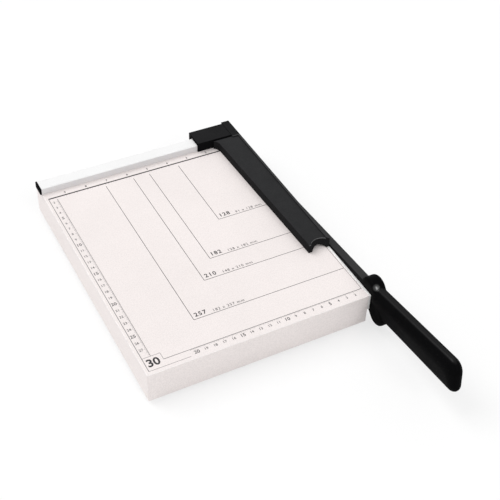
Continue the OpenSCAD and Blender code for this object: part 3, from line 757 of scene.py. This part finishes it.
def add_egg(bm, along, up, diameter, thickness):
    """A round as seen from the side, thinner across the grip."""
    place = on_arm(GRIP_MID, along, up) @ Matrix.Diagonal((thickness / diameter, 1, 1, 1))
    bmesh.ops.create_uvsphere(bm, u_segments=ROUND_STEPS, v_segments=ROUND_STEPS // 2,
                              radius=diameter / 2 * MM, matrix=place)


def pull_skin(bm):
    """Keep only the tight skin around everything in the bmesh."""
    bmesh.ops.delete(bm, geom=bm.edges[:], context="EDGES_FACES")
    bmesh.ops.convex_hull(bm, input=bm.verts[:])
    inside = [vert for vert in bm.verts if not vert.link_faces]
    bmesh.ops.delete(bm, geom=inside, context="VERTS")
    mesh = bpy.data.meshes.new("skin")
    bm.to_mesh(mesh)
    bm.free()
    return mesh


handle = bmesh.new()
for egg in HANDLE_EGGS:
    add_egg(handle, **egg)
hilt = bmesh.new()
for pill in HILT_PILLS:
    add_pill(hilt, **pill)
blank = bmesh.new()
blank.from_mesh(pull_skin(handle))
blank.from_mesh(pull_skin(hilt))
blank_mesh = bpy.data.meshes.new("grip_blank")
blank.to_mesh(blank_mesh)
blank.free()
blank_object = bpy.data.objects.new("grip_blank", blank_mesh)
bpy.context.scene.collection.objects.link(blank_object)

drills = bmesh.new()
for along in SCREWS_ALONG:
    place = on_arm(GRIP_LEFT + GRIP_T, along, SCREWS_UP) @ Matrix.Rotation(pi / 2, 4, "Y")
    bmesh.ops.create_cone(drills, cap_ends=True, segments=HOLE_STEPS, radius1=HOLE_R * MM,
                          radius2=HOLE_R * MM, depth=2 * HOLE_DEPTH * MM, matrix=place)
drill_mesh = bpy.data.meshes.new("screw_drills")
drills.to_mesh(drill_mesh)
drills.free()
drill_object = bpy.data.objects.new("screw_drills", drill_mesh)
bpy.context.scene.collection.objects.link(drill_object)

skin = blank_object.modifiers.new("one_skin", "REMESH")
skin.mode = "VOXEL"
skin.voxel_size = GRIP_VOXEL
flow = blank_object.modifiers.new("flowing_creases", "SMOOTH")
flow.factor = FLOW_FACTOR
flow.iterations = FLOW_STEPS
sunk = blank_object.modifiers.new("screw_holes", "BOOLEAN")
sunk.operation = "DIFFERENCE"
sunk.object = drill_object
graph = bpy.context.evaluated_depsgraph_get()
grip = bmesh.new()
grip.from_mesh(bpy.data.meshes.new_from_object(blank_object.evaluated_get(graph)))
bpy.data.objects.remove(blank_object)
bpy.data.objects.remove(drill_object)
grip.normal_update()
polish = grip.verts.layers.float.new("polish")
thumb_rest = on_arm(**THUMB_REST).translation
for vert in grip.verts:
    ridge = max(vert.normal.dot(POLISH_TOWARD) - POLISH_FROM, 0) / (1 - POLISH_FROM)
    past_rest = min(max((thumb_rest.y - vert.co.y) / THUMB_REACH, 0), 1)
    rest = max(1 - (vert.co - thumb_rest).length / THUMB_REACH, 0)
    vert[polish] = max(RIDGE_POLISH * ridge * past_rest, rest)
make_piece("grip_moulding", grip, [grip_black], "arm", ["handle_grip"],
           smooth=180, flats=False)

# %% [markdown]
# ## Feet and small steel
#
# The rubber feet are turned shapes: a half section spun once round an axis gives the rounded rim
# and the recess for the screw.

# %% Turn the feet
FOOT_RIM_R = 0.9 * MM
SCREW_RECESS_R = 2.9 * MM
SCREW_RECESS = 2.2 * MM
FOOT_STEPS = 40
for place in ("front_left", "front_right", "rear_left", "rear_right"):
    foot_low, foot_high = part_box("foot_" + place)
    axis = (foot_low + foot_high) / 2
    radius = (foot_high.x - foot_low.x) / 2
    foot = bmesh.new()
    half = [(0, SCREW_RECESS), (SCREW_RECESS_R, SCREW_RECESS), (SCREW_RECESS_R, 0),
            (radius - FOOT_RIM_R / 2, 0), (radius, foot_high.z), (0, foot_high.z)]
    points = draw_path(foot, [(axis.x + r, axis.y, z) for r, z in half])
    round_corners(foot, points[3:5], FOOT_RIM_R, segments=4)
    bmesh.ops.spin(foot, geom=foot.verts[:] + foot.edges[:], cent=(axis.x, axis.y, 0),
                   axis=(0, 0, 1), angle=2 * pi, steps=FOOT_STEPS, use_merge=True)
    bmesh.ops.remove_doubles(foot, verts=foot.verts, dist=WELD)
    bmesh.ops.recalc_face_normals(foot, faces=foot.faces)
    make_piece("rubber_foot_" + place, foot, [foot_rubber], "base",
               ["foot_" + place])

# %% [markdown]
# Screws, nuts, washers and the bolt keep their solids' shapes with a hairline of rounding, so
# that they glint. A dressed piece may stand for a node with several solids, such as all the
# screws of the knife.

# %% Round the small steel
STEEL_R = 0.2 * MM
SPRING_R = 0.1 * MM
PIN_R = 0.3 * MM
BUSH_R = 0.2 * MM
BUFFER_R = 0.9 * MM
BASE_STEEL = ("bed_knife_screws", "bed_knife_nuts", "fence_screws", "guard_block_screws",
              "pivot_bracket", "bracket_screws", "pivot_bolt", "pivot_spacer", "pivot_washer",
              "pivot_nut", "stop_stud", "stop_nut", "foot_screws", "foot_nuts")
for node in BASE_STEEL:
    rounded_node(node, STEEL_R, [zinc_plate], "base", segments=2)
for node in ("blade_screws", "grip_screws"):
    rounded_node(node, STEEL_R, [zinc_plate], "arm", segments=2)
rounded_node("disc_springs", SPRING_R, [ground_steel], "base", segments=2)
rounded_node("guard_pin", PIN_R, [ground_steel], "base", segments=2)
rounded_node("pivot_bush", BUSH_R, [bush_brass], "arm", segments=2)
rounded_node("stop_buffer", BUFFER_R, [foot_rubber], "base", segments=4)

# %% [markdown]
# ## The printed table
#
# The table top is screen-printed: a bold line before the fence, three rulers, and the outlines of
# common sheet sizes with their measures. Ink has a thickness, so each mark is a very thin closed
# prism that lies on the paint. Lines and ticks are boxes; numbers are text turned into meshes.
# All places are in millimetres from the corner where the cut meets the fence, so x is negative
# on the left of the cut and y is negative before the fence.

# %% Define the print tools
INK = 0.05 * MM
INK_SINK = 0.02 * MM
CAP_SHARE = 0.7
TEXT_STEPS = 3


def ink_box(bm, x0, y0, x1, y1):
    low = corner + Vector((min(x0, x1) * MM, min(y0, y1) * MM, table_z - INK_SINK))
    high = corner + Vector((max(x0, x1) * MM, max(y0, y1) * MM, table_z + INK))
    add_box(bm, low, high)


def ink_line_x(bm, x0, x1, y, width):
    ink_box(bm, x0, y - width / 2, x1, y + width / 2)


def ink_line_y(bm, x, y0, y1, width):
    ink_box(bm, x - width / 2, y0, x + width / 2, y1)


def ink_text(bm, label, x, y, height, weight=0.0, spread=1.0, align="CENTER"):
    """A label with capitals of the given height, its strokes swelled by weight."""
    curve = bpy.data.curves.new("label", "FONT")
    curve.body = str(label)
    curve.size = height * MM / CAP_SHARE
    curve.space_character = spread
    curve.align_x = align
    curve.align_y = "CENTER"
    curve.extrude = (INK + INK_SINK) / 2
    curve.offset = weight * MM
    curve.resolution_u = TEXT_STEPS
    text = bpy.data.objects.new("label", curve)
    bpy.context.scene.collection.objects.link(text)
    text_graph = bpy.context.evaluated_depsgraph_get()
    mesh = bpy.data.meshes.new_from_object(text.evaluated_get(text_graph))
    bpy.data.objects.remove(text)
    lift = table_z + (INK - INK_SINK) / 2
    mesh.transform(Matrix.Translation(corner + Vector((x * MM, y * MM, lift))))
    bm.from_mesh(mesh)
    bpy.data.meshes.remove(mesh)


def tick_reach(step, long_step, half_step, reaches):
    """How far a tick reaches: the reaches are those of long, half and short ticks."""
    if step % long_step == 0:
        return reaches[0]
    return reaches[1] if step % half_step == 0 else reaches[2]


# %% [markdown]
# Two rulers count centimetres, one down the left side from the fence and one along the front from
# the cut, with every fifth number bold. The third counts inches along the fence. The first starts
# below the fence's line, the second at the border by the cut, and the third beside the guard.

# %% Print the rulers
RULER_OUT = -246.2
RULER_IN = -236.9
RULER_NUMBERS = -242.4
BOLD_Y = -10.9
BOLD_W = 1.8
FRONT_LINE = -288.9
FRONT_NUMBERS = -294.4
CORNER_TOP = -280.0
CORNER_RIGHT = -227.2
CORNER_LOW = -297.5
RULER_GAP = 4
LINE_W = 0.55
THIN_W = 0.35
TICK_W = 0.16
TICKS_MM = (2.8, 2.1, 1.4)
TICKS_INCH = (3.2, 2.4, 1.7)
DIGIT_H = 3.1
DIGIT_WEIGHT = 0.06
BOLD_EVERY = 5
FIFTH_H = 4.1
FIFTH_WEIGHT = 0.13
CENTIMETRE = 10
INCH = 25.4
EIGHTHS = 8
RULER_UP = 0.8
RULER_RIGHT = 5.6
INCH_RIGHT = 3.3
LEFT_MM = range(16, 280)
LEFT_CM = range(2, 28)
FRONT_MM = range(12, 206)
FRONT_CM = range(2, 21)
FENCE_EIGHTHS = range(11, 79)
BORDER = -3.8
WORDS_LEFT = -202


def ink_centimetre(bm, number, x, y):
    if number % BOLD_EVERY == 0:
        ink_text(bm, number, x, y, FIFTH_H, FIFTH_WEIGHT)
    else:
        ink_text(bm, number, x, y, DIGIT_H, DIGIT_WEIGHT)


rules = bmesh.new()
ink_line_y(rules, RULER_OUT, BOLD_Y, CORNER_LOW, LINE_W)
ink_line_y(rules, RULER_IN, BOLD_Y - RULER_GAP, CORNER_TOP, THIN_W)
ink_line_x(rules, CORNER_RIGHT, BORDER, FRONT_LINE, LINE_W)
ink_line_y(rules, BORDER, BOLD_Y, FRONT_LINE, THIN_W)
ink_line_x(rules, RULER_OUT, CORNER_RIGHT, CORNER_TOP, THIN_W)
ink_line_y(rules, CORNER_RIGHT, CORNER_TOP, FRONT_LINE, THIN_W)
ink_line_x(rules, RULER_OUT, WORDS_LEFT, CORNER_LOW, THIN_W)
for step in LEFT_MM:
    reach = tick_reach(step, CENTIMETRE, CENTIMETRE // 2, TICKS_MM)
    ink_line_x(rules, RULER_IN - reach, RULER_IN, RULER_UP - step, TICK_W)
for step in FRONT_MM:
    reach = tick_reach(step, CENTIMETRE, CENTIMETRE // 2, TICKS_MM)
    ink_line_y(rules, RULER_RIGHT - step, FRONT_LINE - reach, FRONT_LINE, TICK_W)
for eighth in FENCE_EIGHTHS:
    reach = tick_reach(eighth, EIGHTHS, EIGHTHS // 2, TICKS_INCH)
    ink_line_y(rules, INCH_RIGHT - eighth * INCH / EIGHTHS, BOLD_Y - reach, BOLD_Y, TICK_W)
for centimetre in LEFT_CM:
    ink_centimetre(rules, centimetre, RULER_NUMBERS, RULER_UP - centimetre * CENTIMETRE)
for centimetre in FRONT_CM:
    ink_centimetre(rules, centimetre, RULER_RIGHT - centimetre * CENTIMETRE, FRONT_NUMBERS)
make_piece("printed_rules", rules, [line_ink], "base", smooth=30)

# %% [markdown]
# Each outline is the left and the front edge of a sheet pushed against fence and cut. Its length
# stands in the corner as a bold number, with the full size beside it. The outlines, the line
# before the fence, the inch numbers and the number in the table's corner have a darker ink than
# the rulers, so they are a piece of their own.

# %% Print the sheet outlines
OUTLINES = ((91, 128), (128, 182), (148, 210), (182, 257))
PRINT_RIGHT = 3.0
PRINT_UP = 2.7
OUTLINE_TOP = -16.5
LABEL_H = 5.4
LABEL_RIGHT = 3.0
LABEL_UP = 5.5
LABEL_WEIGHT = 0.14
LABEL_SPREAD = 1.2
SIZE_H = 3.6
SIZE_RIGHT = 22.5
SIZE_UP = 3.6
GUARD_LEFT = -30.0
FENCE_INCHES = range(2, 10)
INCH_NUMBERS = -6.5
TABLE_CM = 30
CORNER_X = -237.7
CORNER_Y = -288.6
CORNER_H = 9.5
CORNER_WEIGHT = 0.35
sheets = bmesh.new()
ink_line_x(sheets, RULER_OUT, GUARD_LEFT, BOLD_Y, BOLD_W)
for inch in FENCE_INCHES:
    ink_text(sheets, inch, INCH_RIGHT - inch * INCH, INCH_NUMBERS, DIGIT_H, DIGIT_WEIGHT)
ink_text(sheets, TABLE_CM, CORNER_X, CORNER_Y, CORNER_H, CORNER_WEIGHT)
for width, length in OUTLINES:
    left = PRINT_RIGHT - width
    low = PRINT_UP - length
    ink_line_y(sheets, left, OUTLINE_TOP, low, LINE_W)
    ink_line_x(sheets, left, BORDER, low, LINE_W)
    ink_text(sheets, length, left + LABEL_RIGHT, low + LABEL_UP, LABEL_H, LABEL_WEIGHT,
             spread=LABEL_SPREAD, align="LEFT")
    ink_text(sheets, f"{width} x {length} mm", left + SIZE_RIGHT, low + SIZE_UP, SIZE_H,
             spread=LABEL_SPREAD, align="LEFT")
make_piece("printed_outlines", sheets, [bold_ink], "base", smooth=30)

# %% [markdown]
# ## Measure
#
# The box of the dressed model is measured against the box of its solids, and the growth is
# printed.

# %% Finish
dressed_low, dressed_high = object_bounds()
growth = (dressed_high - dressed_low) - (cad_high - cad_low)
print("grew by", [round(side / MM, 2) for side in growth], "mm")
